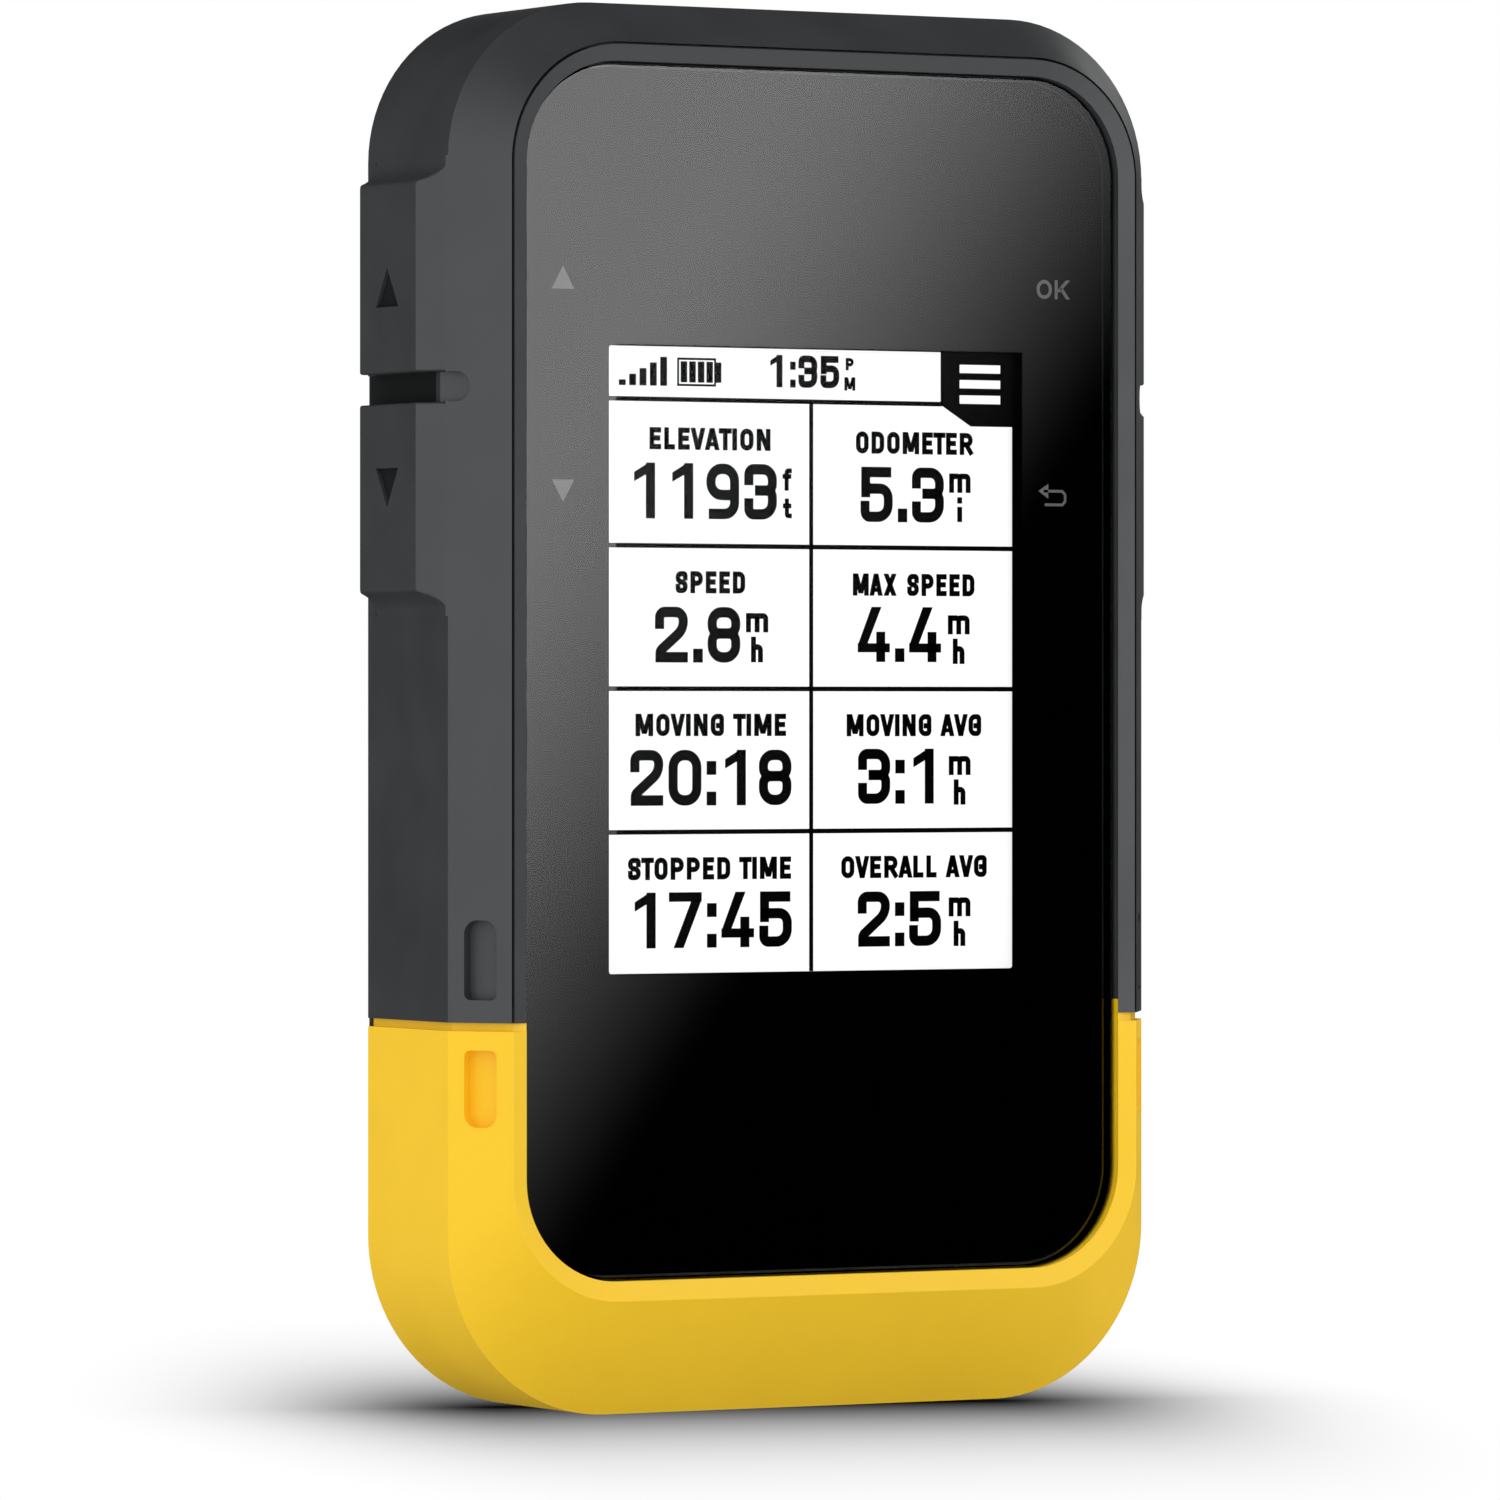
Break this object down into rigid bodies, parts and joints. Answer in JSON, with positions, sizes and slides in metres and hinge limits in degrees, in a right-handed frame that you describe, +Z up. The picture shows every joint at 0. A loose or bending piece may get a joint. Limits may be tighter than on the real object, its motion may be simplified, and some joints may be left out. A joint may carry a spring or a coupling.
{
  "type": "handheld gps unit",
  "caption": "Pocket-size rugged satellite navigation unit with a tall glossy window, side keys, a coloured foot and a rear battery door with a D-ring latch.",
  "frame": {"origin": "middle of the flat base that the unit stands on", "axes": "+Z up along the long side, -Y out of the screen, +X to the right of someone facing the screen"},
  "size_m": [0.0612, 0.031, 0.1016],
  "materials": {
    "dark_plastic": "fine texture",
    "dark_rubber": "matte",
    "yellow_plastic": "fine texture",
    "lens": "polished",
    "ink": "printed",
    "foam": "matte",
    "silicone": "matte",
    "screen_glass": "satin",
    "white_plastic": "satin",
    "clear_plastic": "clear",
    "flex": "satin",
    "circuit_board": "solder mask",
    "chip_plastic": "moulded",
    "ceramic": "fired",
    "steel": "plated",
    "brass": "turned",
    "battery_can": "printed sleeve"
  },
  "bodies": {
    "case": {"front_lens": "lens", "lens_mask": "ink", "lens_gasket": "foam", "front_carrier": "dark_plastic", "upper_housing": "dark_plastic", "lower_boot": "yellow_plastic", "case_seal": "silicone", "left_key_membrane": "silicone", "right_key_membrane": "silicone", "left_key_board": "circuit_board", "right_key_board": "circuit_board", "key_domes": "steel", "lcd_glass": "screen_glass", "lcd_tray": "white_plastic", "light_guide": "clear_plastic", "lcd_flex": "flex", "main_board": "circuit_board", "processor_shield": "steel", "receiver_shield": "steel", "memory_chips": "chip_plastic", "patch_antenna": "ceramic", "beeper": "chip_plastic", "backup_cell": "steel", "board_screws": "steel", "rear_housing": "dark_plastic", "latch_insert": "brass", "case_screws": "steel", "usb_board": "circuit_board", "usb_socket": "steel", "usb_flex": "flex", "left_battery": "battery_can", "right_battery": "battery_can", "lower_contact": "steel", "upper_contacts": "steel", "contact_springs": "steel"},
    "up_key": {"up_key": "dark_rubber"},
    "down_key": {"down_key": "dark_rubber"},
    "ok_key": {"ok_key": "dark_rubber"},
    "back_key": {"back_key": "dark_rubber"},
    "door": {"battery_door": "dark_plastic", "door_seal": "silicone", "mount_spine": "dark_plastic", "spine_screws": "steel"},
    "latch": {"latch_screw": "steel", "latch_clip": "steel"},
    "ring": {"latch_ring": "steel"},
    "cap": {"port_cap": "dark_rubber"}
  },
  "joints": [
    {"name": "up_key_press", "type": "slide", "parent": "case", "child": "up_key", "axis": [1, 0, 0], "range_m": [0, 0.00045], "stiffness_N_per_m": 900},
    {"name": "down_key_press", "type": "slide", "parent": "case", "child": "down_key", "axis": [1, 0, 0], "range_m": [0, 0.00045], "stiffness_N_per_m": 900},
    {"name": "ok_key_press", "type": "slide", "parent": "case", "child": "ok_key", "axis": [-1, 0, 0], "range_m": [0, 0.00045], "stiffness_N_per_m": 900},
    {"name": "back_key_press", "type": "slide", "parent": "case", "child": "back_key", "axis": [-1, 0, 0], "range_m": [0, 0.00045], "stiffness_N_per_m": 900},
    {"name": "door_lift", "type": "slide", "parent": "case", "child": "door", "axis": [0, 1, 0], "range_m": [0, 0.03]},
    {"name": "latch_turn", "type": "hinge", "parent": "door", "child": "latch", "pos_m": [0, 0.012, 0.013], "axis": [0, 1, 0], "range_deg": [0, 360]},
    {"name": "ring_flip", "type": "hinge", "parent": "latch", "child": "ring", "pos_m": [0, 0.01295, 0.013], "axis": [1, 0, 0], "range_deg": [0, 180]},
    {"name": "cap_open", "type": "hinge", "parent": "case", "child": "cap", "pos_m": [0, 0.013, 0.0914], "axis": [1, 0, 0], "range_deg": [0, 95]}
  ]
}
